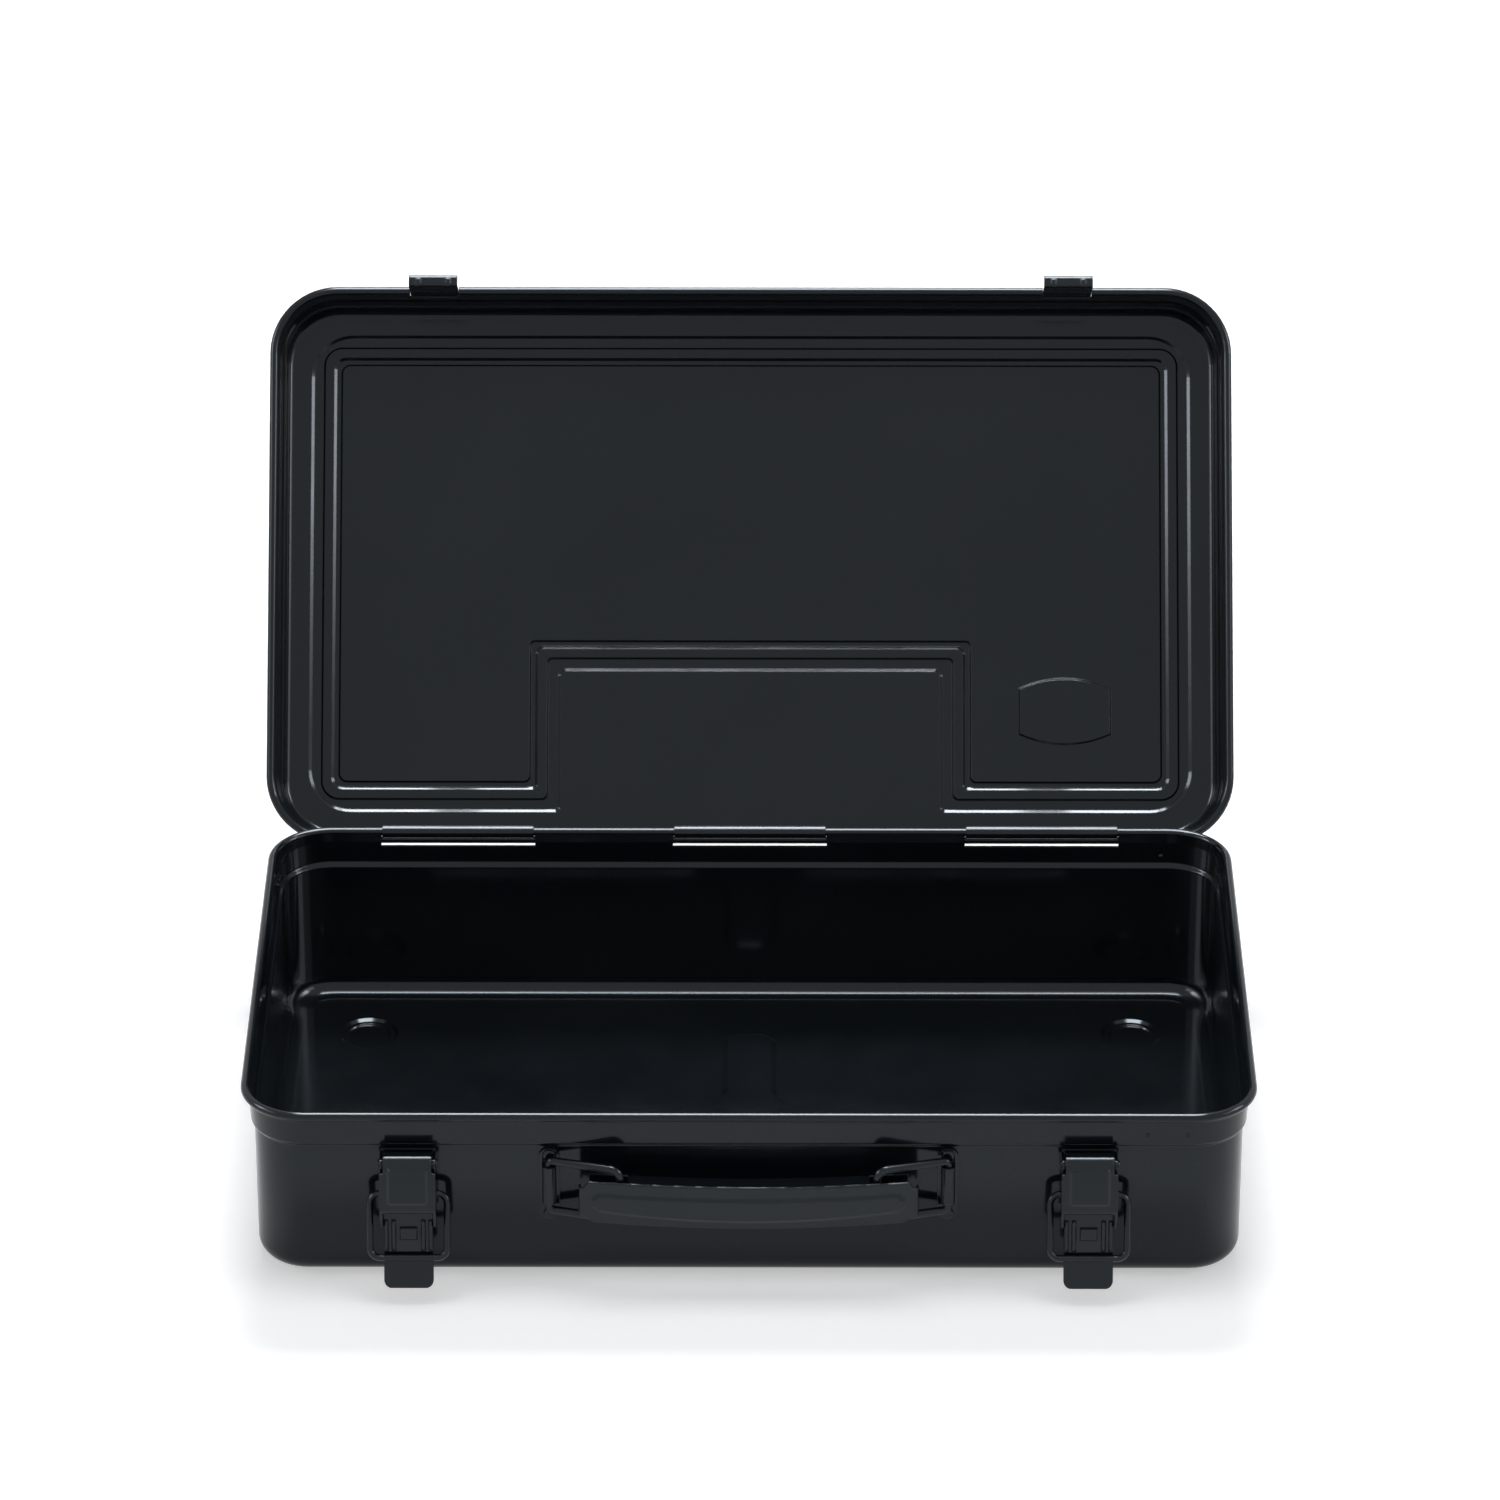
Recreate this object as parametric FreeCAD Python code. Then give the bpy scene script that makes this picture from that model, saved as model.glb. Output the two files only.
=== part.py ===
# Steel toolbox: a pressed tray and lid, three curled hinges, two toggle latches and a swing handle.
# Millimetres and degrees. It stands open, as in use: +X runs to its right, +Y back to the hinges, +Z up.
# It is drawn with the tray's middle at x = y = 0 and the floor's underside at z = 0, and is moved at the
# end so that the origin lies under the middle of the open toolbox, at the level of its feet.
import FreeCAD, Part
import math
import os
from FreeCAD import Vector

# Tray
tray_length = 359.2         # over the bead
tray_width = 207.0          # over the bead
tray_height = 69.3          # from the floor's underside to the top of the bead
tray_corner = 23.0          # radius of the bead's outer edge in plan
tray_band = 13.7            # depth of the flared band under the rim
floor_radius = 7.2          # from the walls into the floor

# Sheet and rims, alike on tray and lid. An inset is measured inwards from the bead's outer edge.
sheet = 0.8
bead_radius = 1.6
band_shoulder_inset = 2.75
band_shoulder_depth = 5.0
band_foot_inset = 3.2
wall_inset = 4.5
ledge_drop = 1.4            # depth over which the band steps in to the wall
ledge_radius = 1.2
plate_lap = 0.5             # how far the flat plate stops short of the corner's bend

# Lid
lid_overhang = 2.4          # how far the lid's bead stands outside the tray's
lid_depth = 27.4            # from the rim to the outside of the panel
lid_band = 11.0
lid_edge_radius = 3.8
lid_open = 125.1            # how far the lid stands open

# Pressed ridges of the lid's panel, from the lid's outer edge, with a notch at the hinges
ridge_height = 0.9
ridge_margin = 14.3
ridge_widths = (5.3, 3.3)   # outer ridge, inner ridge
ridge_spacing = 3.3         # flat between the two ridges
ridge_corners = ((16.0, 6.5), (4.5, 3.0))   # plan radii of each ridge's outer and inner edge
ridge_slopes = (1.2, 0.6)   # width of the outer and inner flanks
notch_half = 72.0
notch_reach = 68.2
notch_round = 2.0

# Blank label field, pressed inwards
label_margin = 60.1         # of its middle, from the end of the tray
label_reach = 53.0          # of its middle, from the lid's rear edge
label_half_length = 17.6
label_half_side = 8.8
label_half_height = 12.8
label_press = 0.6
label_slope = 0.6

# Floor: a raised cross and four pressed feet, placed by how far they stay within the bead's outer edge
cross_height = 1.2
cross_slope = 2.0
cross_arm_half = 10.0
cross_arm_margin = 37.7
cross_band_half = 10.5
cross_band_margin = 49.6
cross_fillet = 15.0
cross_end_radius = 7.0
foot_margin_x = 36.6
foot_margin_y = 37.1
foot_radii = (11.15, 9.7, 8.3, 7.8)   # outer slope from and to, inner step from and to
foot_steps = (0.8, 0.6)     # drop of the outer slope, drop of the inner step

# Dimples in the rim band, where the maker's press locates the sheet
dimple_radius = 1.1
dimple_press = 0.45
dimple_margins = (39.5, 25.4)   # of the two in front, from the end of the tray
dimple_depth = 9.6          # below the rim

# Hinges
hinge_margin = 70.1         # from the end of the tray to the middle of the outer hinges
strap_width = 56.8
strap_sheet = 0.8
strap_end_depth = 9.6       # how far the leaf reaches up inside the lid's band
slot_play = 0.9             # width of a slot over its strap
slot_depth = 6.7            # below the tray's rim
curl_start = 100.0          # of the curled part, from +Y towards +Z, with the lid shut
curl_end = -174.0
running_gap = 0.1           # a curl round the bead
seat_gap = 0.05             # between pieces that are welded, riveted or pinned together
wire_gap = 0.08             # round a wire that turns in its hole
clear_gap = 0.3             # between pieces that move past each other

# Keepers
latch_margin = 59.7         # from the end of the tray to the middle of a latch
keeper_width = 18.4
keeper_sheet = 0.8
keeper_top_depth = 9.0
keeper_reach = 2.5          # how far the hook stands out of the lid's outer edge
keeper_lip = 2.6            # height of the hook's lip over its floor
keeper_bend = 0.6
keeper_jog_depth = 1.8
keeper_rib_x = 5.6
keeper_rib_width = 1.8
keeper_rib_height = 0.3
keeper_rib_reach = 3.2      # of the ribs up the hook's plate
keeper_rib_end = 1.0        # how far they stop short of the hook's lip

# Latches, placed from the front wall outwards and from the rim down
lever_pivot_out = 6.1
lever_pivot_depth = 19.4
lever_rest = 14.0           # how far the levers stand away from the wall

# Lever: distances outwards and down from its pivot, with the lever shut
lever_sheet = 1.0
lever_width = 19.7
lever_hood_width = 17.0     # of the hood over the pivot, down to the shoulders
lever_hood_radius = 4.2     # of the sheet's middle
lever_hood_back = 0.6       # how far the hood goes on behind the pivot
lever_shoulder = 1.85
lever_plate_end = 16.3
lever_neck_start = 17.9
lever_neck_end = 36.5
lever_length = 45.8
lever_neck_width = 17.5
lever_neck_set = -2.1       # middle of the neck
lever_tab_set = -0.5        # middle of the tab's end
lever_tab_radius = 3.0
lever_bend = 0.7
cheek_sheet = 1.0
flange_shoulder = (3.4, 1.85)   # outline of the side flanges, round the ear and back to the wall
flange_throat = (1.6, 3.3)
flange_top = (-5.6, 4.2)
flange_tip = (0.0, 23.2)
flange_round = 1.0
field_width = 14.6
field_start = -0.5
field_end = 13.6
field_height = 0.7
field_slope = 1.0
field_radius = 1.6
rib_x = (5.2, 7.9)
rib_radius = 0.8
rib_start = 21.0
rib_end = 31.6
catch_width = 6.0
catch_height = 4.6
catch_lift = 1.1
catch_place = 23.5
pin_radius = 1.0
pin_head_radius = 1.9
pin_head = 0.7
ear_sheet = 1.0
ear_radius = 2.85
base_sheet = 1.0
base_bottom_depth = 37.9
tongue_width = 15.4         # of the base below its shoulder, between the lever's flanges

# Latch loops
wire_radius = 1.2
loop_width = 27.2           # between the wire's middles
loop_bend = 3.6
loop_pivot_down = 11.7      # from the lever's pivot, with the lever shut
loop_pivot_in = 3.55
loop_stub_inset = 0.9       # how far the wire's ends pass through the flanges
hook_depth = 8.6            # of the loop's bar in the hook, with the latch shut
loop_hang = 22.9            # how far the hanging loop stands out from straight down

# Handle brackets and rings
knuckle_margin = 10.55      # from the grip's end to the knuckle
bracket_width = 7.4
bracket_bottom_depth = 44.9
bracket_sheet = 1.0
knuckle_out = 4.0
knuckle_radius = 2.5
knuckle_length = 15.0
ring_radius = 1.5
ring_width = 26.0           # between the wire's middles
ring_height = 20.3          # between the wire's middles
ring_depth = 18.8           # of the upper arm's middle
ring_bend = 3.5             # of the wire's middle, at the grip
ring_knuckle_bend = 1.8     # at the knuckle
ring_rest = 15.0            # how far the rings stand away from the wall
ring_most = 58.0            # how far they swing out
rivet_head_radius = 2.25
rivet_head = 1.1
rivet_shank_radius = 1.4
rivet_margin = 2.4          # from a bracket's end to its rivet

# Handle grip. The depths below the rim are of its ends and its middle, so that its edges bow.
grip_length = 119.5
grip_sheet = 0.8
grip_top = (21.6, 24.0)
grip_bottom = (38.3, 40.8)
grip_pocket = 5.2           # clear depth for the rings' inner legs
grip_lip = 8.6              # height of the rear lip
grip_foot_depth = 5.0       # depth of the lower flange
grip_foot_margin = 19.8     # from the grip's end to the lower flange
grip_fold = 3.0             # how far the ends fold back
grip_fold_bend = 0.8
grip_relief = (2.0, 2.7)    # width and height of the cut at an upper corner, within the fold
grip_corner = (3.6, 2.7)    # the same at a lower corner
grip_field_inset = 4.2
grip_field_top = (26.2, 28.5)
grip_field_bottom = (34.2, 38.6)
grip_field_height = 0.7
grip_field_slope = 1.4
grip_field_radius = 2.4
grip_edge_round = 0.6

# Worked out from the sizes above
right = Vector(1, 0, 0)
back = Vector(0, 1, 0)
up = Vector(0, 0, 1)
origin = Vector(0, 0, 0)
lid_length = tray_length + 2 * lid_overhang
lid_width = tray_width + 2 * lid_overhang
lid_corner = tray_corner + lid_overhang
curl_inner = bead_radius + running_gap
curl_outer = curl_inner + strap_sheet
bead_distance = curl_outer + running_gap + bead_radius
bead_rise = math.sqrt(bead_distance**2 - lid_overhang**2)
hinge_axis = Vector(0, tray_width / 2 - bead_radius, tray_height - bead_radius)
lid_rim = hinge_axis.z + bead_rise - bead_radius
hinge_spacing = tray_length / 2 - hinge_margin
slot_width = strap_width + slot_play
wall_front = -(tray_width / 2 - wall_inset)
ledge_turn = math.atan2(wall_inset - band_foot_inset, ledge_drop)
plain_wall = tray_height - tray_band - ledge_drop - ledge_radius * math.tan(ledge_turn / 2)
latch_x = tray_length / 2 - latch_margin
lever_pivot = Vector(0, wall_front - lever_pivot_out, tray_height - lever_pivot_depth)
base_top = plain_wall - clear_gap
base_shoulder = lever_pivot.z - flange_top[1] + clear_gap
hanging_face = lid_overhang - clear_gap - keeper_sheet
lip_face = keeper_sheet - keeper_reach
hook_bar = Vector(0, -lid_width / 2 + (hanging_face + lip_face) / 2, tray_height - hook_depth)
shut_loop_pivot = lever_pivot + Vector(0, loop_pivot_in, -loop_pivot_down)
loop_length = (hook_bar - shut_loop_pivot).Length
flange_x = lever_width / 2 - lever_sheet / 2
bracket_x = grip_length / 2 + knuckle_margin
bracket_top = plain_wall - clear_gap
bracket_bottom = tray_height - bracket_bottom_depth
knuckle_y = wall_front - knuckle_out
ring_high = tray_height - ring_depth
ring_low = ring_high - ring_height
knuckle_top = ring_high - ring_knuckle_bend - clear_gap
foot_height = sum(foot_steps)

# The grip moves straight out while the rings turn, so its pocket leaves the rings' legs some play
swing_travel = ring_width * math.sin(math.radians(ring_most))
grip_rate = swing_travel / math.radians(ring_most)
widest_turn = math.acos(grip_rate / ring_width)
widest_play = ring_width * math.sin(widest_turn) - grip_rate * widest_turn
rest_turn = math.radians(ring_rest)
grip_out = knuckle_out + grip_rate * rest_turn + widest_play / 2


def outline_edges(points, lift):
    """Edges of a closed outline through (a, b) or (a, b, corner radius) points, put in space by lift"""
    spots = [Vector(point[0], point[1], 0) for point in points]
    count = len(spots)
    corners = []
    for i, point in enumerate(points):
        spot = spots[i]
        radius = point[2] if len(point) > 2 else 0.0
        if radius == 0.0:
            corners.append((spot, None, spot))
            continue
        before = (spots[i - 1] - spot).normalize()
        after = (spots[(i + 1) % count] - spot).normalize()
        half = before.getAngle(after) / 2
        centre = spot + (before + after).normalize() * (radius / math.sin(half))
        middle = centre + (spot - centre).normalize() * radius
        reach = radius / math.tan(half)
        corners.append((spot + before * reach, middle, spot + after * reach))
    edges = []
    for i, (start, middle, end) in enumerate(corners):
        if middle is not None:
            edges.append(Part.Arc(lift(start), lift(middle), lift(end)).toShape())
        following = corners[(i + 1) % count][0]
        if end.distanceToPoint(following) > 1e-6:
            edges.append(Part.makeLine(lift(end), lift(following)))
    return edges


def side_face(points, x=0.0):
    """Face from (y, z) points, at one x"""
    return Part.Face(Part.Wire(outline_edges(points, lambda p: Vector(x, p.x, p.y))))


def front_face(points, y=0.0):
    """Face from (x, z) points, at one y"""
    return Part.Face(Part.Wire(outline_edges(points, lambda p: Vector(p.x, y, p.y))))


def plan_wire(points, z):
    """Closed wire from (x, y) points, at one z"""
    return Part.Wire(outline_edges(points, lambda p: Vector(p.x, p.y, z)))


def rounded_rectangle(length, width, radius):
    """Points of a rectangle about the origin, with round corners"""
    a = length / 2
    b = width / 2
    return [(-a, -b, radius), (a, -b, radius), (a, b, radius), (-a, b, radius)]


def strip(path, left, right_side, bends):
    """Outline of a bent strip that reaches left and right_side from a line of (a, b) points,
    with its inner bend radius at each point"""
    spots = [Vector(a, b, 0) for a, b in path]
    last = len(spots) - 1
    left_edge = []
    right_edge = []
    for i, spot in enumerate(spots):
        before = (spots[max(i, 1)] - spots[max(i, 1) - 1]).normalize()
        after = (spots[min(i, last - 1) + 1] - spots[min(i, last - 1)]).normalize()
        normal = Vector(-before.y - after.y, before.x + after.x, 0).normalize()
        stretch = 1 / math.cos(before.getAngle(after) / 2)
        turn = before.cross(after).z
        inner = bends[i] if abs(turn) > 1e-6 else 0.0
        outer = bends[i] + left + right_side if abs(turn) > 1e-6 else 0.0
        a = spot + normal * (left * stretch)
        b = spot - normal * (right_side * stretch)
        left_edge.append((a.x, a.y, inner if turn > 0 else outer))
        right_edge.append((b.x, b.y, outer if turn > 0 else inner))
    return left_edge + right_edge[::-1]


def joined(first, *others):
    """One solid from pieces that overlap or share faces"""
    whole = first.multiFuse(list(others)).removeSplitter()
    if len(whole.Solids) != 1:
        raise ValueError("these pieces should make one solid")
    return whole.Solids[0]


def widened(face, width):
    """A face at x = 0 made into a solid that reaches half the width to each side"""
    solid = face.extrude(right * width)
    solid.translate(right * (-width / 2))
    return solid


def box(low, high):
    """Box between two corners"""
    size = high - low
    return Part.makeBox(size.x, size.y, size.z, low)


def around(points, length, width, corner):
    """Solids that a profile of (inset, height) points makes round a rectangle with round corners"""
    pieces = []
    for quarter in range(4):
        along = (length, width)[quarter % 2]
        across = (width, length)[quarter % 2]
        start = -(along / 2 - corner)
        profile = side_face([(-across / 2 + point[0], *point[1:]) for point in points], start)
        run = profile.extrude(right * (along - 2 * corner))
        profile.translate(right * (along - 2 * corner))
        bend = profile.revolve(Vector(-start, -across / 2 + corner, 0), up, 90)
        for piece in (run, bend):
            piece.rotate(origin, up, 90 * quarter)
            pieces.append(piece)
    return pieces


def pan(length, width, corner, depth, edge_radius, band):
    """Pressed sheet pan, upside down: its beaded rim is at z = 0 and its flat plate is on top"""
    lift = sheet * math.tan(ledge_turn / 2)
    plate_inset = wall_inset + edge_radius + plate_lap
    profile = [
        (0.0, 0.0, bead_radius),
        (0.0, 2 * bead_radius, bead_radius),
        (2 * bead_radius - sheet, 2 * bead_radius),
        (band_shoulder_inset, band_shoulder_depth),
        (band_foot_inset, band, ledge_radius),
        (wall_inset, band + ledge_drop, ledge_radius),
        (wall_inset, depth, edge_radius),
        (plate_inset, depth),
        (plate_inset, depth - sheet),
        (wall_inset + sheet, depth - sheet, edge_radius - sheet),
        (wall_inset + sheet, band + ledge_drop - lift, ledge_radius),
        (band_foot_inset + sheet, band - lift, ledge_radius),
        (band_shoulder_inset + sheet, band_shoulder_depth),
        (2 * bead_radius, bead_radius),
        (2 * bead_radius, 0.0, bead_radius),
    ]
    plate_points = rounded_rectangle(length - 2 * plate_inset, width - 2 * plate_inset, corner - plate_inset)
    plate = Part.Face(plan_wire(plate_points, depth - sheet)).extrude(up * sheet)
    return joined(plate, *around(profile, length, width, corner))


def frustum(low_points, low, high_points, high):
    """Solid between two like outlines at two heights"""
    return Part.makeLoft([plan_wire(low_points, low), plan_wire(high_points, high)], True, True)


def cross_outline(shrink):
    """Outline of the floor's raised cross"""
    arm = cross_arm_half - shrink
    reach = tray_width / 2 - cross_arm_margin - shrink
    band = cross_band_half - shrink
    length = tray_length / 2 - cross_band_margin - shrink
    end = cross_end_radius - shrink
    inner = cross_fillet + shrink
    quarter = [(length, band, end), (arm, band, inner), (arm, reach, end)]
    points = []
    for side_x, side_y, order in ((1, 1, 1), (-1, 1, -1), (-1, -1, 1), (1, -1, -1)):
        points += [(side_x * x, side_y * y, r) for x, y, r in quarter[::order]]
    return points


def foot():
    """Pressed foot, a dish about the z axis that takes the place of the floor inside it"""
    outer, ring_out, ring_in, flat = foot_radii
    first, second = foot_steps
    surface = [(outer, 0.0), (ring_out, -first), (ring_in, -first), (flat, -first - second), (0.0, -first - second)]
    top = [(r, z + sheet) for r, z in surface]
    return front_face(surface + top[::-1]).revolve(origin, up, 360)


def dimple(x, face_y, outward):
    """Ball that presses a dimple into the band's outer face"""
    middle = Vector(x, face_y + outward * (dimple_radius - dimple_press), tray_height - dimple_depth)
    return Part.makeSphere(dimple_radius, middle)


def band_inset_at(depth, band):
    """Inset of the band's outer face at a depth under its shoulder"""
    share = (depth - band_shoulder_depth) / (band - band_shoulder_depth)
    return band_shoulder_inset + share * (band_foot_inset - band_shoulder_inset)


def rivet_spots():
    """Places of the bracket rivets on the outside of the front wall"""
    spots = []
    for side in (-1, 1):
        for end in (-1, 1):
            half = (bracket_top - bracket_bottom) / 2
            height = bracket_bottom + half + end * (half - rivet_margin)
            spots.append(Vector(side * bracket_x, wall_front, height))
    return spots


def make_tray():
    """Body of the toolbox"""
    tray = pan(tray_length, tray_width, tray_corner, tray_height, floor_radius, tray_band)
    tray.rotate(origin, right, 180)
    tray.translate(up * tray_height)
    outer = foot_radii[0]
    feet = []
    holes = []
    foot_x = tray_length / 2 - foot_margin_x
    foot_y = tray_width / 2 - foot_margin_y
    for x in (-foot_x, foot_x):
        for y in (-foot_y, foot_y):
            holes.append(Part.makeCylinder(outer, sheet, Vector(x, y, 0)))
            feet.append(foot().translated(Vector(x, y, 0)))
    low = cross_outline(0.0)
    high = cross_outline(cross_slope)
    raised = frustum(low, sheet, high, sheet + cross_height)
    hollow = frustum(low, 0.0, high, cross_height)
    tray = joined(tray.cut(Part.makeCompound(holes)), raised, *feet).cut(hollow)
    slots = []
    rods = []
    slot_back = hinge_axis.y + 2 * bead_radius
    slot_front = tray_width / 2 - wall_inset - sheet
    for x in (-hinge_spacing, 0.0, hinge_spacing):
        low_corner = Vector(x - slot_width / 2, slot_front, tray_height - slot_depth)
        high_corner = Vector(x + slot_width / 2, slot_back, tray_height + sheet)
        slots.append(box(low_corner, high_corner))
        rod_start = hinge_axis + right * (x - slot_width / 2)
        rods.append(Part.makeCylinder(bead_radius, slot_width, rod_start, right))
    tray = joined(tray.cut(Part.makeCompound(slots)), *rods)
    band_face = tray_width / 2 - band_inset_at(dimple_depth, tray_band)
    tools = [dimple(tray_length / 2 - margin, -band_face, -1) for margin in dimple_margins]
    tools.append(dimple(tray_length / 2 - dimple_margins[-1], band_face - sheet, -1))
    for spot in rivet_spots():
        radius = rivet_shank_radius + seat_gap
        tools.append(Part.makeCylinder(radius, 2 * sheet, spot - back * (sheet / 2), back))
    return tray.cut(Part.makeCompound(tools))


def ridge_outline(offset, corner, shrink):
    """Outline of one edge of a pressed ridge, which lies offset further in than the first edge"""
    margin = ridge_margin + offset + shrink
    half = notch_half + offset + shrink
    reach = notch_reach + offset + shrink
    a = lid_length / 2 - margin
    front = -lid_width / 2 + margin
    rear = lid_width / 2 - margin
    notch = lid_width / 2 - reach
    outer = corner - shrink
    tip = notch_round - shrink
    inner = notch_round + shrink
    right_half = [(a, front, outer), (a, rear, outer), (half, rear, tip), (half, notch, inner)]
    return right_half + [(-x, y, r) for x, y, r in right_half[::-1]]


def ridge(number, base):
    """One pressed ridge as a solid that stands on z = base"""
    start = number * (ridge_widths[0] + ridge_spacing)
    end = start + ridge_widths[number]
    outer_corner, inner_corner = ridge_corners[number]
    outer_slope, inner_slope = ridge_slopes
    top = base + ridge_height
    outer_low = ridge_outline(start, outer_corner, 0.0)
    outer_high = ridge_outline(start, outer_corner, outer_slope)
    inner_low = ridge_outline(end, inner_corner, 0.0)
    inner_high = ridge_outline(end, inner_corner, -inner_slope)
    return frustum(outer_low, base, outer_high, top).cut(frustum(inner_low, base, inner_high, top))


def label_wire(shrink, z):
    """Barrel-shaped outline of the label field"""
    a = label_half_length - shrink
    side = label_half_side - shrink / 2
    b = label_half_height - shrink
    label_x = tray_length / 2 - label_margin
    y = lid_width / 2 - label_reach
    corners = [Vector(label_x + i * a, y + j * side, z) for i, j in ((1, -1), (1, 1), (-1, 1), (-1, -1))]
    crown = Vector(label_x, y + b, z)
    sole = Vector(label_x, y - b, z)
    return Part.Wire([
        Part.makeLine(corners[0], corners[1]),
        Part.Arc(corners[1], crown, corners[2]).toShape(),
        Part.makeLine(corners[2], corners[3]),
        Part.Arc(corners[3], sole, corners[0]).toShape(),
    ])


def label_field(top):
    """Solid pressed down from z = top"""
    return Part.makeLoft([label_wire(0.0, top), label_wire(label_slope, top - label_press)], True, True)


def make_lid():
    """Lid, shut, with its rim at z = 0"""
    inside = lid_depth - sheet
    lid = pan(lid_length, lid_width, lid_corner, lid_depth, lid_edge_radius, lid_band)
    numbers = range(len(ridge_widths))
    lid = joined(lid, *[ridge(number, lid_depth) for number in numbers], label_field(inside))
    hollows = [ridge(number, inside) for number in numbers]
    hollows.append(label_field(lid_depth))
    half = keeper_width / 2 + seat_gap
    inner_y = -lid_width / 2 + band_shoulder_inset + 2 * sheet
    for x in (-latch_x, latch_x):
        low = Vector(x - half, -lid_width / 2 - sheet, -sheet)
        hollows.append(box(low, Vector(x + half, inner_y, band_shoulder_depth)))
    return lid.cut(Part.makeCompound(hollows))


def curl(y, z):
    """Curled part of a hinge leaf about the tray's bead, as a face at x = 0"""
    def spot(radius, degrees):
        angle = math.radians(degrees)
        return Vector(0, y + radius * math.cos(angle), z + radius * math.sin(angle))
    middle = (curl_start + curl_end) / 2
    outer = [spot(curl_outer, angle) for angle in (curl_start, middle, curl_end)]
    inner = [spot(curl_inner, angle) for angle in (curl_end, middle, curl_start)]
    return Part.Face(Part.Wire([
        Part.Arc(*outer).toShape(),
        Part.makeLine(outer[2], inner[0]),
        Part.Arc(*inner).toShape(),
        Part.makeLine(inner[2], outer[0]),
    ]))


def make_strap():
    """Hinge leaf, shut: it curls round the tray's bead and lies inside the lid's rear band"""
    path = [(hinge_axis.y, hinge_axis.z + (curl_inner + curl_outer) / 2)]
    for depth in (band_shoulder_depth, strap_end_depth):
        inset = band_inset_at(depth, lid_band) + sheet + seat_gap + strap_sheet / 2
        path.append((lid_width / 2 - inset, lid_rim + depth))
    half = strap_sheet / 2
    leaf = widened(side_face(strip(path, half, half, [strap_sheet] * len(path))), strap_width)
    return joined(leaf, widened(curl(hinge_axis.y, hinge_axis.z), strap_width))


def make_keeper():
    """Keeper, shut: a welded plate that comes down through the lid's notched bead and ends in a hook"""
    front = -lid_width / 2
    half = keeper_sheet / 2
    upper = []
    for depth in (keeper_top_depth, band_shoulder_depth):
        inset = band_inset_at(depth, lid_band) - seat_gap - half
        upper.append((front + inset, lid_rim + depth))
    hanging = front + hanging_face + half
    floor = hook_bar.z - wire_radius - clear_gap - half
    lip = front + lip_face - half
    path = upper + [
        (hanging, lid_rim + keeper_jog_depth),
        (hanging, floor),
        (lip, floor),
        (lip, floor + half + keeper_lip),
    ]
    plate = widened(side_face(strip(path, half, half, [keeper_bend] * len(path))), keeper_width)
    rib_path = [(hanging, floor + keeper_rib_reach), (hanging, floor), (lip + keeper_rib_end, floor)]
    rib_bends = [keeper_bend + half] * len(rib_path)
    rib_face = side_face(strip(rib_path, half + keeper_rib_height, 0.0, rib_bends))
    ribs = [widened(rib_face, keeper_rib_width).translated(right * x) for x in (-keeper_rib_x, keeper_rib_x)]
    return joined(plate, *ribs)


def down_lever(out, down):
    """(y, z) of a point outwards and down from the lever's pivot, with the lever shut"""
    return (lever_pivot.y - out, lever_pivot.z - down)


def lever_silhouette():
    """Front view of the lever's sheet as (x, z) points"""
    hood = lever_hood_width / 2
    plate = lever_width / 2
    neck = lever_neck_width / 2
    half = [
        (hood, -2 * lever_hood_radius),
        (hood, lever_shoulder),
        (plate, lever_shoulder),
        (plate, lever_plate_end),
        (neck, lever_neck_start),
        (neck, lever_length, lever_tab_radius),
    ]
    left = [(-x, *rest) for x, *rest in half[::-1]]
    return [(x, lever_pivot.z - rest[0], *rest[1:]) for x, *rest in half + left]


def make_lever():
    """Latch lever, shut"""
    half = lever_sheet / 2
    path = [down_lever(out, down) for out, down in (
        (-lever_hood_back, -lever_hood_radius),
        (lever_hood_radius, -lever_hood_radius),
        (lever_hood_radius, lever_plate_end),
        (lever_neck_set, lever_neck_start),
        (lever_neck_set, lever_neck_end),
        (lever_tab_set, lever_length),
    )]
    bends = [lever_hood_radius - half] * 2 + [lever_bend] * (len(path) - 2)
    plate = widened(side_face(strip(path, half, half, bends)), 2 * lever_width)
    depth = 4 * lever_hood_radius
    front_y = lever_pivot.y - depth / 2
    cutter = front_face(lever_silhouette(), front_y).extrude(back * depth)
    pieces = [plate.common(cutter)]
    cheek_x = (lever_hood_width - cheek_sheet) / 2
    disc = Part.makeCylinder(lever_hood_radius, cheek_sheet, lever_pivot - right * (cheek_sheet / 2), right)
    flange = side_face([
        down_lever(lever_hood_radius, lever_shoulder),
        down_lever(*flange_shoulder),
        down_lever(*flange_throat),
        down_lever(*flange_top),
        (*down_lever(flange_top[0], flange_tip[1]), flange_round),
        (*down_lever(*flange_tip), flange_round),
        down_lever(lever_hood_radius, lever_plate_end),
    ])
    for side in (-1, 1):
        pieces.append(disc.translated(right * (side * cheek_x)))
        pieces.append(widened(flange, lever_sheet).translated(right * (side * flange_x)))
    pieces += lever_details()
    lever = joined(*pieces)
    bore = pin_radius + seat_gap
    bores = [Part.makeCylinder(bore, 2 * lever_width, lever_pivot - right * lever_width, right)]
    eye = wire_radius + wire_gap
    bores.append(Part.makeCylinder(eye, 2 * lever_width, shut_loop_pivot - right * lever_width, right))
    return lever.cut(Part.makeCompound(bores))


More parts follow.
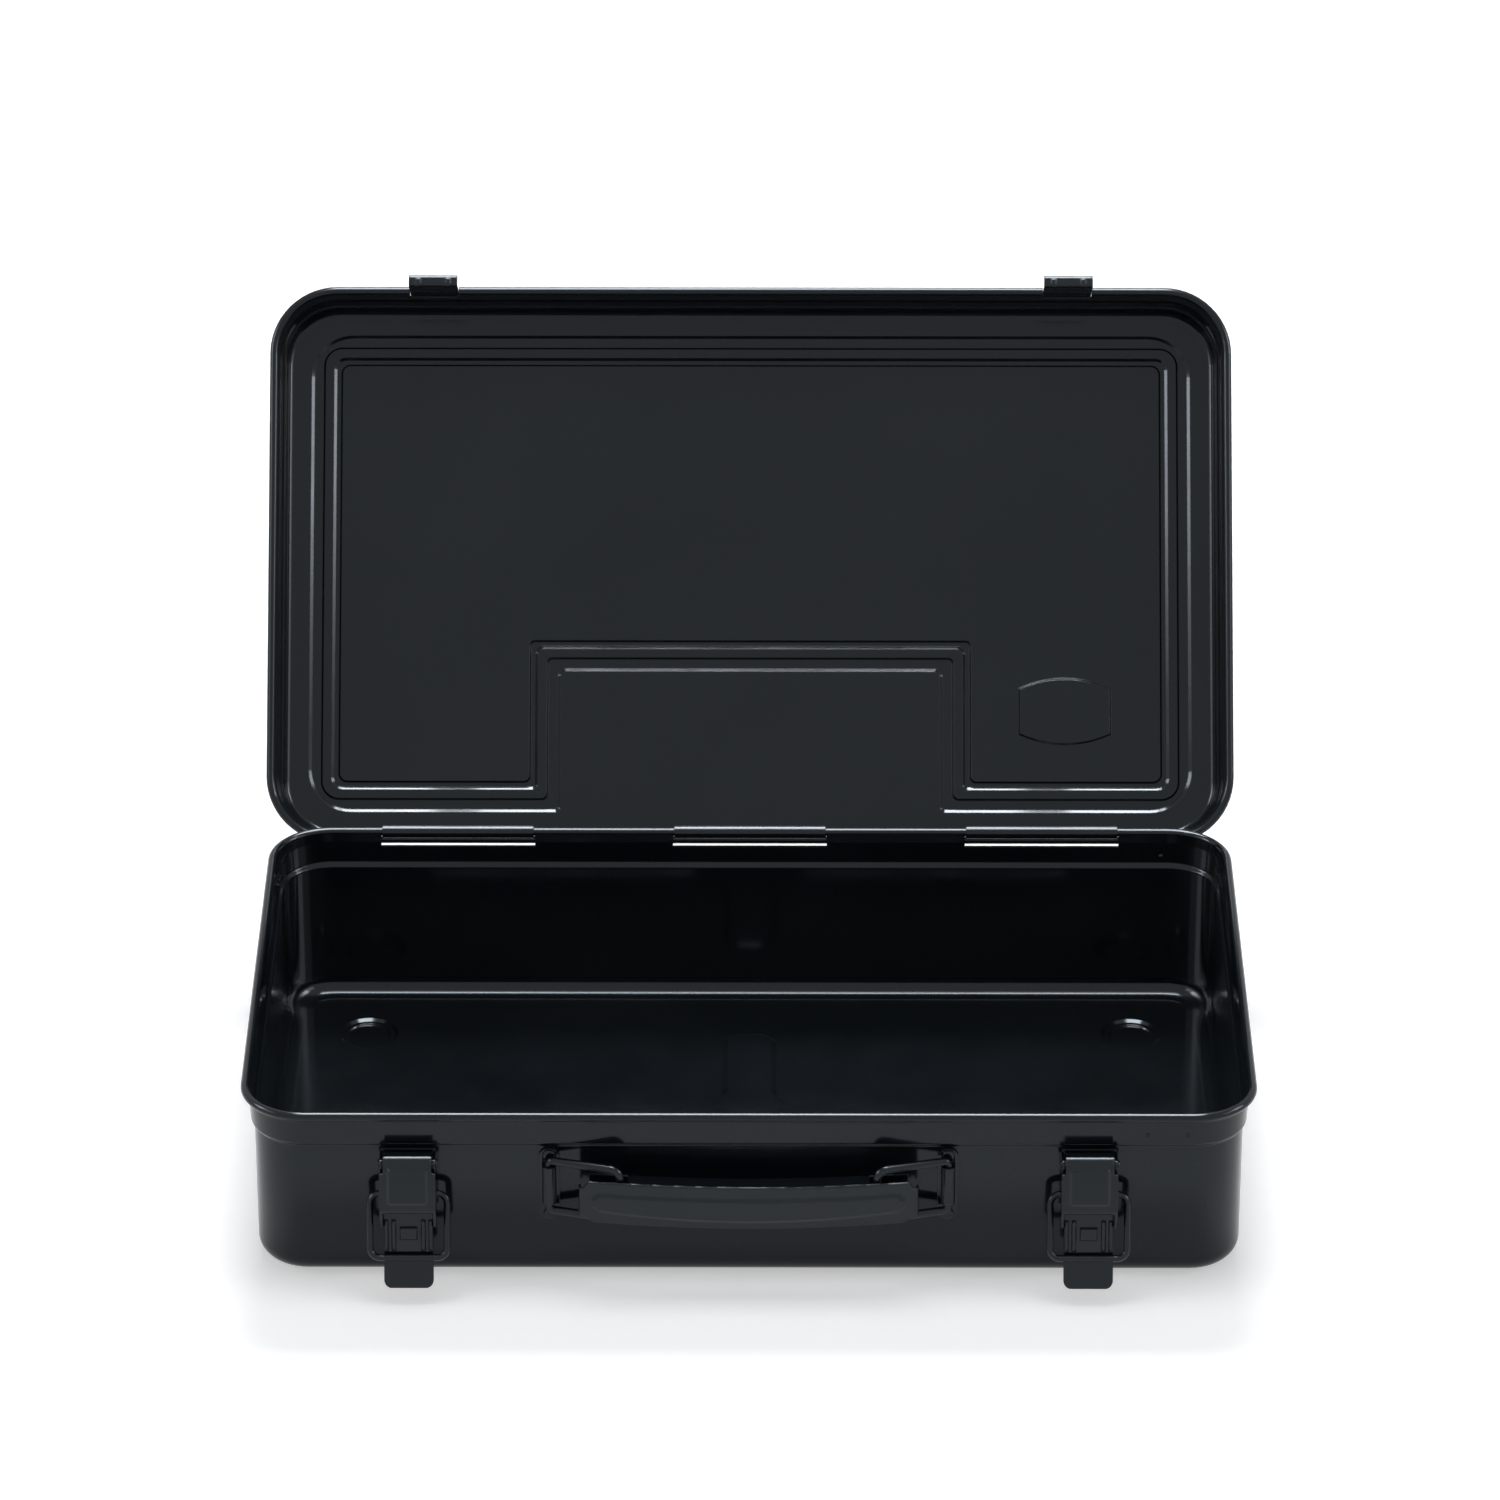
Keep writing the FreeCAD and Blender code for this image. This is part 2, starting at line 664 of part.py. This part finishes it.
def lever_details():
    """Raised field, neck ribs and catch block on the lever's front, as solids"""
    front = lever_pivot.y - lever_hood_radius - lever_sheet / 2
    middle = lever_pivot.z - (field_start + field_end) / 2
    wires = []
    for shrink, lift in ((0.0, 0.0), (field_slope, field_height)):
        height = field_end - field_start - 2 * shrink
        points = rounded_rectangle(field_width - 2 * shrink, height, field_radius - shrink)
        shifted = [(x, middle + z, r) for x, z, r in points]
        wires.append(Part.Wire(outline_edges(shifted, lambda p, y=front - lift: Vector(p.x, y, p.y))))
    details = [Part.makeLoft(wires, True, True)]
    neck_front = lever_pivot.y - lever_neck_set - lever_sheet / 2
    for x in rib_x:
        for side in (-1, 1):
            start = Vector(side * x, neck_front, lever_pivot.z - rib_end)
            details.append(Part.makeCylinder(rib_radius, rib_end - rib_start, start, up))
            details.append(Part.makeSphere(rib_radius, start))
    half = catch_width / 2
    top = lever_pivot.z - catch_place
    low = Vector(-half, neck_front - catch_lift, top - catch_height)
    block = box(low, Vector(half, neck_front + lever_sheet / 2, top))
    front_edges = [edge for edge in block.Edges if edge.BoundBox.YMax < low.y + 1e-6]
    details.append(block.makeFillet(catch_lift / 2, front_edges))
    return details


def make_base():
    """Latch plate on the front wall, with an ear at each side of the lever's roll"""
    inner = wall_front - seat_gap
    outer = inner - base_sheet
    half = lever_width / 2
    tongue = tongue_width / 2
    base_bottom = tray_height - base_bottom_depth
    outline = [(half, base_top), (half, base_shoulder), (tongue, base_shoulder), (tongue, base_bottom)]
    outline = [(x, z, base_sheet) for x, z in outline]
    outline += [(-x, z, r) for x, z, r in outline[::-1]]
    plate = front_face(outline, outer).extrude(back * base_sheet)
    ear = side_face([
        (inner - base_sheet / 2, lever_pivot.z - ear_radius, 0.0),
        (lever_pivot.y - ear_radius, lever_pivot.z - ear_radius, ear_radius - seat_gap),
        (lever_pivot.y - ear_radius, lever_pivot.z + ear_radius, ear_radius - seat_gap),
        (inner - base_sheet / 2, lever_pivot.z + ear_radius, 0.0),
    ])
    ears = []
    for x in (-flange_x, flange_x):
        ears.append(widened(ear, ear_sheet).translated(right * x))
    bore = Part.makeCylinder(pin_radius + seat_gap, 2 * lever_width, lever_pivot - right * lever_width, right)
    return joined(plate, *ears).cut(bore)


def make_pin():
    """Headed pin through the ears and the lever's roll"""
    start = flange_x + ear_sheet / 2 + seat_gap
    shank = Part.makeCylinder(pin_radius, 2 * start, lever_pivot - right * start, right)
    heads = []
    for side in (-1, 1):
        base = lever_pivot + right * (side * start)
        head = Part.makeCylinder(pin_head_radius, pin_head, base, right * side)
        rim = [edge for edge in head.Edges if edge.Closed and abs(edge.CenterOfMass.x) > start + pin_head / 2]
        heads.append(head.makeFillet(pin_head * 0.6, rim))
    return joined(shank, *heads)


def bent_rod(points, bends, radius, closed=False):
    """Round rod along straight runs, which arcs join, with the bend radius at each point"""
    count = len(points)
    enter = list(points)
    leave = list(points)
    pieces = []
    for i in range(count) if closed else range(1, count - 1):
        here = points[i]
        bend = bends[i]
        coming = (here - points[i - 1]).normalize()
        going = (points[(i + 1) % count] - here).normalize()
        turn = coming.getAngle(going)
        reach = bend * math.tan(turn / 2)
        axis = coming.cross(going).normalize()
        enter[i] = here - coming * reach
        leave[i] = here + going * reach
        disc = Part.Face(Part.Wire(Part.makeCircle(radius, enter[i], coming)))
        pieces.append(disc.revolve(enter[i] + axis.cross(coming) * bend, axis, math.degrees(turn)))
    for i in range(count if closed else count - 1):
        run = enter[(i + 1) % count] - leave[i]
        pieces.append(Part.makeCylinder(radius, run.Length, leave[i], run))
    return joined(*pieces)


def turned_out(point, centre, degrees):
    """A point turned about the X axis through a centre, its lower side going outwards"""
    return FreeCAD.Rotation(right, -degrees).multVec(point - centre) + centre


def make_loop():
    """Latch loop, hanging from a lever at rest"""
    pivot = turned_out(shut_loop_pivot, lever_pivot, lever_rest)
    angle = math.radians(loop_hang)
    down = Vector(0, -math.sin(angle), -math.cos(angle)) * loop_length
    half = loop_width / 2
    stub = flange_x - lever_sheet / 2 - loop_stub_inset
    points = [pivot + right * stub, pivot + right * half, pivot + right * half + down]
    points += [pivot - right * half + down, pivot - right * half, pivot - right * stub]
    return bent_rod(points, [loop_bend] * len(points), wire_radius)


def make_bracket(side):
    """Handle bracket: an upright plate with a knuckle for the ring"""
    x = side * bracket_x
    inner = wall_front - seat_gap
    outer = inner - bracket_sheet
    height = bracket_top - bracket_bottom
    points = rounded_rectangle(bracket_width, height, bracket_width / 2 - seat_gap)
    shifted = [(x + a, bracket_bottom + height / 2 + b, r) for a, b, r in points]
    plate = front_face(shifted, outer).extrude(back * bracket_sheet)
    length = knuckle_length
    low = knuckle_top - length
    tube = Part.makeCylinder(knuckle_radius, length, Vector(x, knuckle_y, low))
    web = box(Vector(x - knuckle_radius, knuckle_y, low), Vector(x + knuckle_radius, inner, low + length))
    tools = [Part.makeCylinder(ring_radius + wire_gap, length, Vector(x, knuckle_y, low))]
    for spot in rivet_spots():
        tools.append(Part.makeCylinder(rivet_shank_radius + seat_gap, 4 * sheet, spot - back * 2 * sheet, back))
    return joined(plate, tube, web).cut(Part.makeCompound(tools))


def make_rivets():
    """Bracket rivets: a domed head outside, a shank, and a clinched head inside the wall"""
    solids = []
    outer = seat_gap + bracket_sheet + seat_gap
    inner = sheet + seat_gap
    for spot in rivet_spots():
        shank = Part.makeCylinder(rivet_shank_radius, outer + inner, spot - back * outer, back)
        pieces = [shank]
        for start, way in ((spot - back * outer, -1), (spot + back * inner, 1)):
            head = Part.makeCylinder(rivet_head_radius, rivet_head, start, back * way)
            far = start.y + way * rivet_head / 2
            rim = [edge for edge in head.Edges if edge.Closed and (edge.CenterOfMass.y - far) * way > 0]
            pieces.append(head.makeFillet(rivet_head * 0.75, rim))
        solids.append(joined(*pieces))
    return Part.makeCompound(solids)


def make_ring(side):
    """Wire ring, turned out from the wall about its knuckle"""
    angle = math.radians(ring_rest)
    hinge = Vector(side * bracket_x, knuckle_y, 0)
    inner = hinge + Vector(-side * ring_width * math.cos(angle), -ring_width * math.sin(angle), 0)
    low = up * ring_low
    high = up * ring_high
    points = [hinge + low, inner + low, inner + high, hinge + high]
    bends = [ring_knuckle_bend, ring_bend, ring_bend, ring_knuckle_bend]
    return bent_rod(points, bends, ring_radius, True)


def bowed_wire(half, top, bottom, y, upper_cut=None, lower_cut=None):
    """Upright outline with bowed edges: top and bottom give an edge's height at its ends and its middle.
    The cuts give the width and height of straight cuts at its corners."""
    cut_x, cut_z = upper_cut or (0.0, 0.0)
    low_x, low_z = lower_cut or (0.0, 0.0)
    corners = [
        Vector(-(half - cut_x), y, top[0]),
        Vector(half - cut_x, y, top[0]),
        Vector(half, y, top[0] - cut_z),
        Vector(half, y, bottom[0] + low_z),
        Vector(half - low_x, y, bottom[0]),
        Vector(-(half - low_x), y, bottom[0]),
        Vector(-half, y, bottom[0] + low_z),
        Vector(-half, y, top[0] - cut_z),
    ]
    edges = [Part.Arc(corners[0], Vector(0, y, top[1]), corners[1]).toShape()]
    edges.append(Part.Arc(corners[4], Vector(0, y, bottom[1]), corners[5]).toShape())
    for i in (1, 2, 3, 5, 6, 7):
        start = corners[i]
        end = corners[(i + 1) % 8]
        if start.distanceToPoint(end) > 1e-6:
            edges.append(Part.makeLine(start, end))
    return Part.Wire(Part.__sortEdges__(edges))


def bowed_plate(half, top, bottom, front, depth, upper_cut=None, lower_cut=None):
    """Plate of that outline, from y = front backwards"""
    wire = bowed_wire(half, top, bottom, front, upper_cut, lower_cut)
    return Part.Face(wire).extrude(back * depth)


def make_grip():
    """Folded steel grip: a front plate with its ends folded back, an upper flange with a rear lip, and a
    lower flange"""
    half = grip_length / 2
    front = wall_front - grip_out - grip_pocket / 2 - grip_sheet
    depth = grip_pocket + 2 * grip_sheet
    top = [tray_height - depth_below for depth_below in grip_top]
    bottom = [tray_height - depth_below for depth_below in grip_bottom]
    plate_half = half - grip_fold_bend - grip_sheet
    plate = bowed_plate(plate_half, top, bottom, front, grip_sheet, grip_relief, grip_corner)
    flange_half = plate_half - grip_relief[0]
    upper = bowed_plate(flange_half, top, [z - grip_sheet for z in top], front, depth)
    lip_bottom = [z - grip_lip for z in top]
    lip = bowed_plate(flange_half, top, lip_bottom, front + depth - grip_sheet, grip_sheet)
    lower = bowed_plate(plate_half - grip_corner[0], [z + grip_sheet for z in bottom], bottom, front, grip_foot_depth)
    foot_end = Vector(half - grip_foot_margin, front + grip_foot_depth, bottom[0] + 2 * grip_sheet)
    lower = lower.common(box(Vector(-foot_end.x, front, bottom[1] - grip_sheet), foot_end))
    folds = []
    fold_low = bottom[0] + grip_corner[1]
    fold_high = top[0] - grip_relief[1]
    middle = front + grip_sheet / 2
    for side in (-1, 1):
        edge = side * (half - grip_sheet / 2)
        path = [(side * flange_half, middle), (edge, middle), (edge, front + grip_fold)]
        outline = strip(path, grip_sheet / 2, grip_sheet / 2, [grip_fold_bend] * len(path))
        folds.append(Part.Face(plan_wire(outline, fold_low)).extrude(up * (fold_high - fold_low)))
    grip = joined(plate, upper, lip, lower, *folds)
    edges = [edge for edge in grip.Edges
             if edge.BoundBox.XLength > flange_half and edge.CenterOfMass.z > top[1]
             and edge.BoundBox.ZMax > top[0] - 1e-3]
    grip = grip.makeFillet(grip_edge_round, edges)
    grip = joined(grip, grip_field(half - grip_field_inset, front))
    slots = []
    slot_inner = bracket_x - ring_width - ring_radius - clear_gap
    slot_outer = bracket_x - ring_width * math.cos(math.radians(ring_most)) + ring_radius + clear_gap
    for side in (-1, 1):
        low_x = min(side * slot_inner, side * slot_outer)
        high_x = max(side * slot_inner, side * slot_outer)
        low = Vector(low_x, front + grip_sheet, top[1] - 2 * grip_sheet)
        slots.append(box(low, Vector(high_x, front + depth - grip_sheet, top[0] + grip_sheet)))
    return grip.cut(Part.makeCompound(slots))


def grip_field(half, front):
    """Raised field on the grip's front plate, with round ends"""
    wires = []
    for shrink, lift in ((0.0, 0.0), (grip_field_slope, grip_field_height)):
        high = [tray_height - depth_below - shrink for depth_below in grip_field_top]
        low = [tray_height - depth_below + shrink for depth_below in grip_field_bottom]
        cut = (grip_field_radius, grip_field_radius - shrink / 2)
        wires.append(bowed_wire(half - shrink, high, low, front - lift, cut, cut))
    return Part.makeLoft(wires, True, True)


def opened(shape):
    """A piece of the lid, drawn shut, turned to where it stands open"""
    shape.rotate(hinge_axis, right, -lid_open)
    return shape


def make_all():
    """Every piece by name, as the toolbox stands at rest"""
    pieces = {"tray": make_tray()}
    pieces["lid"] = opened(make_lid().translated(up * lid_rim))
    strap = opened(make_strap())
    for name, x in (("left", -hinge_spacing), ("center", 0.0), ("right", hinge_spacing)):
        pieces["hinge_strap_" + name] = strap.translated(right * x)
    keeper = opened(make_keeper())
    lever = make_lever()
    lever.rotate(lever_pivot, right, -lever_rest)
    latch = {"keeper": keeper, "latch_base": make_base(), "latch_pin": make_pin()}
    latch.update({"latch_lever": lever, "latch_loop": make_loop()})
    for name, side in (("left", -1), ("right", 1)):
        for kind, shape in latch.items():
            pieces[kind + "_" + name] = shape.translated(right * (side * latch_x))
        pieces["handle_bracket_" + name] = make_bracket(side)
        pieces["handle_ring_" + name] = make_ring(side)
    pieces["handle_rivets"] = make_rivets()
    pieces["handle_grip"] = make_grip()
    return pieces


def outer_box(shapes):
    """Box round several shapes"""
    whole = FreeCAD.BoundBox()
    for shape in shapes:
        whole.add(shape.optimalBoundingBox(False, False))
    return whole


parts = make_all()
reach = outer_box(parts.values())
shift = Vector(-(reach.XMin + reach.XMax) / 2, -(reach.YMin + reach.YMax) / 2, -reach.ZMin)
os.makedirs("parts", exist_ok=True)
for part_name, part_shape in parts.items():
    part_shape.translate(shift)
    part_shape.exportStep("parts/" + part_name + ".step")
print("outer size", reach.XLength, reach.YLength, reach.ZLength, "shift", tuple(shift))
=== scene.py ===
import math
import bpy
from mathutils import Matrix, Vector


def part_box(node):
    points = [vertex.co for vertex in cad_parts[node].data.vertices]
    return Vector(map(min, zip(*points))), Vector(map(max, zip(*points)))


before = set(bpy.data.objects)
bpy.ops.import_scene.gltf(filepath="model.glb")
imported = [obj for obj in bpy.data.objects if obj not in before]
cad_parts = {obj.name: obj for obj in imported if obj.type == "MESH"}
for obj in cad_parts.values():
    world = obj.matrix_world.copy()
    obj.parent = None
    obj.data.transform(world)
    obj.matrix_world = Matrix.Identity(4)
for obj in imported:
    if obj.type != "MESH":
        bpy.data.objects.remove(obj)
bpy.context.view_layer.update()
scene = bpy.context.scene
scene.view_settings.view_transform = "Standard"
tray_low, tray_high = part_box("tray")
middle_y = (tray_low[1] + tray_high[1]) / 2
underside = 0.0014          # height of the tray's underside over the plane its feet stand on
white = (1.0, 1.0, 1.0, 1.0)

# Camera: placed from the tray's middle, looking down on the open toolbox
camera_place = Vector((0.00468, middle_y - 2.2641, underside + 1.40108))
camera_yaw, camera_pitch, camera_roll = -0.113, 28.754, -0.024      # degrees


def look_from(place, yaw, pitch, roll):
    """World matrix of a camera at a place, turned by three angles in degrees"""
    yaw, pitch, roll = (math.radians(angle) for angle in (yaw, pitch, roll))
    level = math.cos(pitch)
    ahead = Vector((math.sin(yaw) * level, math.cos(yaw) * level, -math.sin(pitch)))
    across = Vector((math.cos(yaw), -math.sin(yaw), 0.0))
    down = ahead.cross(across)
    side = across * math.cos(roll) + down * math.sin(roll)
    top = across * math.sin(roll) - down * math.cos(roll)
    turn = Matrix((side, top, -ahead)).transposed().to_4x4()
    return Matrix.Translation(place) @ turn


camera_data = bpy.data.cameras.new("camera")
camera = bpy.data.objects.new("camera", camera_data)
scene.collection.objects.link(camera)
camera_data.sensor_width = 36.0
camera_data.lens = 173.606
camera_data.clip_end = 30.0
camera.matrix_world = look_from(camera_place, camera_yaw, camera_pitch, camera_roll)
scene.camera = camera

# Light
heart = Vector((0.0, 0.0, 0.10))        # the point that every lamp faces


def add_light(name, place, size, watts, colour):
    """Rectangular soft light that faces the object"""
    data = bpy.data.lights.new(name, "AREA")
    data.shape = "RECTANGLE"
    data.size, data.size_y = size
    data.energy = watts
    data.color = colour
    light = bpy.data.objects.new(name, data)
    scene.collection.objects.link(light)
    light.location = place
    light.rotation_euler = (heart - Vector(place)).to_track_quat("-Z", "Y").to_euler()
    return light


add_light("rear_light", (0.0, 0.95, 1.60), (0.7, 0.4), 22.0, (0.98, 0.98, 1.0))
add_light("top_light", (0.0, 0.0, 1.9), (1.0, 0.6), 9.0, (0.96, 0.98, 1.0))
add_light("left_light", (-1.6, -0.6, 1.0), (0.8, 0.6), 4.5, (0.98, 0.97, 1.0))
add_light("right_light", (1.6, -0.6, 1.0), (0.8, 0.6), 4.5, (0.98, 0.97, 1.0))

# Strips that only show in the gloss, as thin lines along the beads, ridges and wires
gleam_colour = (0.94, 0.96, 1.0)
for gleam in (
    add_light("top_gleam", (0.0, 0.45, 1.75), (0.75, 1.0), 56.0, gleam_colour),
    add_light("left_gleam", (-1.5, -0.1, 1.0), (0.45, 0.6), 10.0, gleam_colour),
    add_light("right_gleam", (1.5, -0.1, 1.0), (0.45, 0.6), 10.0, gleam_colour),
):
    gleam.visible_diffuse = False

# World and floor: white where the camera, the gloss or glass looks at them, plain light elsewhere
world_fill = 0.2
floor_glow = 0.45


def looking_rays(tree):
    """1 for camera, glossy and transmission rays, and 0 for all others"""
    path = tree.nodes.new("ShaderNodeLightPath")
    rays = path.outputs["Is Camera Ray"]
    for kind in ("Is Glossy Ray", "Is Transmission Ray"):
        either = tree.nodes.new("ShaderNodeMath")
        either.operation = "MAXIMUM"
        tree.links.new(rays, either.inputs[0])
        tree.links.new(path.outputs[kind], either.inputs[1])
        rays = either.outputs[0]
    return rays


def studio_world():
    """Weak even fill that shows as white"""
    world = bpy.data.worlds.new("studio")
    world.use_nodes = True
    tree = world.node_tree
    tree.nodes.clear()
    output = tree.nodes.new("ShaderNodeOutputWorld")
    shown = tree.nodes.new("ShaderNodeBackground")
    shown.inputs["Color"].default_value = white
    fill = tree.nodes.new("ShaderNodeBackground")
    fill.inputs["Color"].default_value = (0.93, 0.96, 1.0, 1.0)
    fill.inputs["Strength"].default_value = world_fill
    mix = tree.nodes.new("ShaderNodeMixShader")
    tree.links.new(looking_rays(tree), mix.inputs[0])
    tree.links.new(fill.outputs[0], mix.inputs[1])
    tree.links.new(shown.outputs[0], mix.inputs[2])
    tree.links.new(mix.outputs[0], output.inputs["Surface"])
    return world


def floor_material():
    """Pale floor that shows white and keeps the object's shadow"""
    material = bpy.data.materials.new("floor")
    material.use_nodes = True
    tree = material.node_tree
    shader = tree.nodes["Principled BSDF"]
    shader.inputs["Base Color"].default_value = (0.86, 0.86, 0.86, 1.0)
    shader.inputs["Roughness"].default_value = 0.9
    shader.inputs["Specular IOR Level"].default_value = 0.1
    shader.inputs["Emission Color"].default_value = white
    glow = tree.nodes.new("ShaderNodeMath")
    glow.operation = "MULTIPLY"
    glow.inputs[1].default_value = floor_glow
    tree.links.new(looking_rays(tree), glow.inputs[0])
    tree.links.new(glow.outputs[0], shader.inputs["Emission Strength"])
    return material


scene.world = studio_world()
bpy.ops.mesh.primitive_plane_add(size=12.0, location=(0.0, 0.0, 0.0))
floor = bpy.context.object
floor.name = "floor"
floor.data.materials.append(floor_material())

# Paint: scale and detail of its four noises, and how far the roughness and the surface vary
near_black = (0.0044, 0.0062, 0.0080, 1.0)
blue_black = (0.0066, 0.0086, 0.0108, 1.0)
cool_gloss = (0.85, 0.93, 1.0, 1.0)
mottle = (14.0, 3.0)
smears = (60.0, 4.0)
orange_peel = (900.0, 2.0)
slow_waves = (11.0, 1.0)
smear_spread = 0.03
peel_depth = 0.000003


def paint(name, gloss, roughness, wave_depth, edge_radius):
    """Baked enamel: near-black, faintly mottled, with orange peel and the sheet's slow waves"""
    material = bpy.data.materials.new(name)
    material.use_nodes = True
    tree = material.node_tree
    shader = tree.nodes["Principled BSDF"]
    shader.inputs["Specular IOR Level"].default_value = gloss
    shader.inputs["Specular Tint"].default_value = cool_gloss
    place = tree.nodes.new("ShaderNodeTexCoord")

    def noise(scale, detail):
        """Noise fixed to the metal"""
        node = tree.nodes.new("ShaderNodeTexNoise")
        node.inputs["Scale"].default_value = scale
        node.inputs["Detail"].default_value = detail
        tree.links.new(place.outputs["Object"], node.inputs["Vector"])
        return node.outputs["Fac"]

    def raised(normal, height, depth):
        """The normal, tilted by a height map"""
        node = tree.nodes.new("ShaderNodeBump")
        node.inputs["Distance"].default_value = depth
        node.inputs["Strength"].default_value = 1.0
        tree.links.new(height, node.inputs["Height"])
        tree.links.new(normal, node.inputs["Normal"])
        return node.outputs["Normal"]

    ramp = tree.nodes.new("ShaderNodeValToRGB")
    dark, light = ramp.color_ramp.elements
    dark.position, light.position = 0.35, 0.65
    dark.color, light.color = near_black, blue_black
    tree.links.new(noise(*mottle), ramp.inputs["Fac"])
    tree.links.new(ramp.outputs["Color"], shader.inputs["Base Color"])

    span = tree.nodes.new("ShaderNodeMapRange")
    span.inputs["From Min"].default_value = 0.3
    span.inputs["From Max"].default_value = 0.7
    span.inputs["To Min"].default_value = roughness - smear_spread
    span.inputs["To Max"].default_value = roughness + smear_spread
    tree.links.new(noise(*smears), span.inputs["Value"])
    tree.links.new(span.outputs["Result"], shader.inputs["Roughness"])

    edge = tree.nodes.new("ShaderNodeBevel")
    edge.samples = 4
    edge.inputs["Radius"].default_value = edge_radius
    peeled = raised(edge.outputs["Normal"], noise(*orange_peel), peel_depth)
    waved = raised(peeled, noise(*slow_waves), wave_depth)
    tree.links.new(waved, shader.inputs["Normal"])
    return material


finishes = {
    "tray": paint("tray_enamel", 0.28, 0.12, 0.0001, 0.0005),
    "lid": paint("lid_enamel", 0.27, 0.12, 0.0001, 0.0005),
    "hinge": paint("hinge_enamel", 0.30, 0.13, 0.00005, 0.0005),
    "hardware": paint("hardware_enamel", 0.32, 0.12, 0.00005, 0.0008),
    "handle": paint("handle_enamel", 0.31, 0.12, 0.00005, 0.0008),
}
finishes["latch"] = finishes["keeper"] = finishes["hardware"]
for node_name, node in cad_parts.items():
    for slot in node.material_slots:
        slot.material = finishes[node_name.split("_")[0]]
